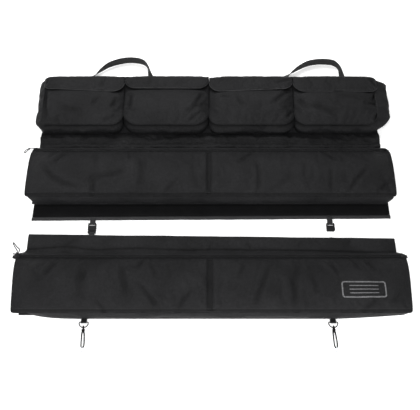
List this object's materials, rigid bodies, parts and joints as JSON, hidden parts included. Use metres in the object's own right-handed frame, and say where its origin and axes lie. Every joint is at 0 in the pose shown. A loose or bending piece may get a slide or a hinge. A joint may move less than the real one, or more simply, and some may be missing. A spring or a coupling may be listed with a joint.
{
  "type": "rod case",
  "caption": "Two-section padded cloth organiser with long zip sleeves for rods, flapped pockets, carry handles, buckled straps and elastic hitch hooks, laid flat.",
  "frame": {"origin": "middle of the upper case's back panel, on its underside", "axes": "+X along the length to the right, +Y towards the carry handles, +Z out of the fronts, the object lying on its back"},
  "size_m": [1.428, 1.2696, 0.081],
  "materials": {
    "shell_cloth": "coated woven polyester, plain weave, soft sheen",
    "panel_cloth": "flat woven polyester panel",
    "foam": "closed-cell foam sheet",
    "webbing": "ribbed polypropylene webbing",
    "hook_and_loop": "hook-and-loop tape, dull pile",
    "moulded_plastic": "moulded acetal, fine satin",
    "zip_tape": "woven zip tape with coil",
    "zip_metal": "dark enamelled zinc",
    "elastic_cord": "braided elastic cord",
    "hook_wire": "bright bent wire"
  },
  "bodies": {
    "upper_case": {"upper_back_panel": "panel_cloth", "upper_back_pad": "foam", "upper_gusset": "shell_cloth", "upper_zip_tape_back": "zip_tape"},
    "upper_front": {"upper_front_cover": "shell_cloth", "upper_front_pad": "foam", "upper_zip_tape_front": "zip_tape"},
    "upper_slider": {"upper_zip_slider": "zip_metal"},
    "upper_pull": {"upper_zip_pull": "zip_metal"},
    "pocket_panel": {"pocket_panel": "panel_cloth", "pocket_1_gusset": "shell_cloth", "pocket_2_gusset": "shell_cloth", "pocket_3_gusset": "shell_cloth", "pocket_4_gusset": "shell_cloth", "pocket_1_front": "shell_cloth", "pocket_2_front": "shell_cloth", "pocket_3_front": "shell_cloth", "pocket_4_front": "shell_cloth"},
    "flap_1": {"pocket_1_flap": "shell_cloth"},
    "flap_2": {"pocket_2_flap": "shell_cloth"},
    "flap_3": {"pocket_3_flap": "shell_cloth"},
    "flap_4": {"pocket_4_flap": "shell_cloth"},
    "handle_left": {"handle_left": "webbing"},
    "handle_right": {"handle_right": "webbing"},
    "joining_strip": {"joining_strip": "shell_cloth", "loop_tape": "hook_and_loop", "strap_left": "webbing", "strap_right": "webbing", "buckle_female_left": "moulded_plastic", "buckle_female_right": "moulded_plastic"},
    "buckle_male": {"buckle_male_left": "moulded_plastic"},
    "prong_a": {"buckle_prong_a": "moulded_plastic"},
    "prong_b": {"buckle_prong_b": "moulded_plastic"},
    "lower_case": {"lower_back_panel": "panel_cloth", "lower_back_pad": "foam", "lower_gusset": "shell_cloth", "lower_zip_tape_back": "zip_tape", "lower_strap_left": "webbing", "lower_strap_right": "webbing", "buckle_male_right": "moulded_plastic", "lower_zip_tab_left": "webbing", "lower_zip_tab_right": "webbing", "hitch_tab_left": "webbing", "hitch_tab_right": "webbing"},
    "lower_flap": {"lower_top_flap": "shell_cloth", "hook_tape": "hook_and_loop"},
    "lower_front": {"lower_front_cover": "shell_cloth", "lower_front_pad": "foam", "lower_zip_tape_front": "zip_tape"},
    "lower_slider": {"lower_zip_slider": "zip_metal"},
    "lower_pull": {"lower_zip_pull": "zip_metal"},
    "d_ring_left": {"d_ring_left": "moulded_plastic"},
    "d_ring_right": {"d_ring_right": "moulded_plastic"},
    "cord_left": {"cord_left": "elastic_cord"},
    "cord_right": {"cord_right": "elastic_cord"},
    "hook_left": {"hook_left": "hook_wire"},
    "hook_right": {"hook_right": "hook_wire"}
  },
  "joints": [
    {"name": "upper_front_open", "type": "hinge", "parent": "upper_case", "child": "upper_front", "pos_m": [0, -0.111, 0.061], "axis": [1, 0, 0], "range_deg": [0, 25]},
    {"name": "upper_zip_slide", "type": "slide", "parent": "upper_case", "child": "upper_slider", "axis": [1, 0, 0], "range_m": [0, 1.3]},
    {"name": "upper_pull_lift", "type": "hinge", "parent": "upper_slider", "child": "upper_pull", "pos_m": [-0.688, 0.11771, 0.03096], "axis": [0, -0.8253, 0.5647], "range_deg": [-90, 0]},
    {"name": "pocket_panel_fold", "type": "hinge", "parent": "upper_case", "child": "pocket_panel", "pos_m": [0, 0.1755, 0.0015], "axis": [1, 0, 0], "range_deg": [0, 65]},
    {"name": "flap_1_open", "type": "hinge", "parent": "pocket_panel", "child": "flap_1", "pos_m": [0, 0.457, 0.005], "axis": [-1, 0, 0], "range_deg": [0, 65]},
    {"name": "flap_2_open", "type": "hinge", "parent": "pocket_panel", "child": "flap_2", "pos_m": [0, 0.457, 0.005], "axis": [-1, 0, 0], "range_deg": [0, 65]},
    {"name": "flap_3_open", "type": "hinge", "parent": "pocket_panel", "child": "flap_3", "pos_m": [0, 0.457, 0.005], "axis": [-1, 0, 0], "range_deg": [0, 65]},
    {"name": "flap_4_open", "type": "hinge", "parent": "pocket_panel", "child": "flap_4", "pos_m": [0, 0.457, 0.005], "axis": [-1, 0, 0], "range_deg": [0, 65]},
    {"name": "handle_left_swing", "type": "hinge", "parent": "pocket_panel", "child": "handle_left", "pos_m": [0, 0.4695, 0.0046], "axis": [-1, 0, 0], "range_deg": [-75, 0]},
    {"name": "handle_right_swing", "type": "hinge", "parent": "pocket_panel", "child": "handle_right", "pos_m": [0, 0.4695, 0.0046], "axis": [-1, 0, 0], "range_deg": [-75, 0]},
    {"name": "strip_fold", "type": "hinge", "parent": "upper_case", "child": "joining_strip", "pos_m": [0, -0.1185, 0.0015], "axis": [-1, 0, 0], "range_deg": [0, 60]},
    {"name": "buckle_release", "type": "slide", "parent": "joining_strip", "child": "buckle_male", "axis": [0, -1, 0], "range_m": [0, 0.05]},
    {"name": "prong_a_squeeze", "type": "hinge", "parent": "buckle_male", "child": "prong_a", "pos_m": [-0.4462, -0.233, 0.0058], "axis": [0, 0, -1], "range_deg": [0, 5]},
    {"name": "prong_b_squeeze", "type": "hinge", "parent": "buckle_male", "child": "prong_b", "pos_m": [-0.4338, -0.233, 0.0058], "axis": [0, 0, 1], "range_deg": [0, 5]},
    {"name": "lower_case_fold", "type": "hinge", "parent": "buckle_male", "child": "lower_case", "pos_m": [0, -0.2395, 0.0058], "axis": [-1, 0, 0], "range_deg": [0, 60]},
    {"name": "lower_flap_open", "type": "hinge", "parent": "lower_case", "child": "lower_flap", "pos_m": [0, -0.318, 0.009], "axis": [1, 0, 0], "range_deg": [0, 70]},
    {"name": "lower_front_open", "type": "hinge", "parent": "lower_case", "child": "lower_front", "pos_m": [0, -0.565, 0.061], "axis": [1, 0, 0], "range_deg": [0, 25]},
    {"name": "lower_zip_slide", "type": "slide", "parent": "lower_case", "child": "lower_slider", "axis": [1, 0, 0], "range_m": [0, 1.3]},
    {"name": "lower_pull_lift", "type": "hinge", "parent": "lower_slider", "child": "lower_pull", "pos_m": [-0.688, -0.33629, 0.03096], "axis": [0, -0.8253, 0.5647], "range_deg": [-90, 0]},
    {"name": "d_ring_left_swing", "type": "hinge", "parent": "lower_case", "child": "d_ring_left", "pos_m": [-0.4375, -0.5835, 0.007], "axis": [-1, 0, 0], "range_deg": [0, 75]},
    {"name": "cord_left_swing", "type": "hinge", "parent": "d_ring_left", "child": "cord_left", "pos_m": [-0.4375, -0.603, 0.007], "axis": [0, 0, 1], "range_deg": [-20, 20]},
    {"name": "hook_left_swing", "type": "hinge", "parent": "cord_left", "child": "hook_left", "pos_m": [-0.4351, -0.673, 0.0062], "axis": [0, 0, 1], "range_deg": [-9, 9]},
    {"name": "d_ring_right_swing", "type": "hinge", "parent": "lower_case", "child": "d_ring_right", "pos_m": [0.427, -0.5835, 0.007], "axis": [-1, 0, 0], "range_deg": [0, 75]},
    {"name": "cord_right_swing", "type": "hinge", "parent": "d_ring_right", "child": "cord_right", "pos_m": [0.427, -0.603, 0.007], "axis": [0, 0, 1], "range_deg": [-20, 20]},
    {"name": "hook_right_swing", "type": "hinge", "parent": "cord_right", "child": "hook_right", "pos_m": [0.4294, -0.673, 0.0062], "axis": [0, 0, 1], "range_deg": [-9, 9]}
  ],
  "couplings": [
    {"joint": "upper_zip_slide", "follows": "upper_front_open", "m_per_rad": 2.9791},
    {"joint": "lower_zip_slide", "follows": "lower_front_open", "m_per_rad": 2.9791}
  ]
}
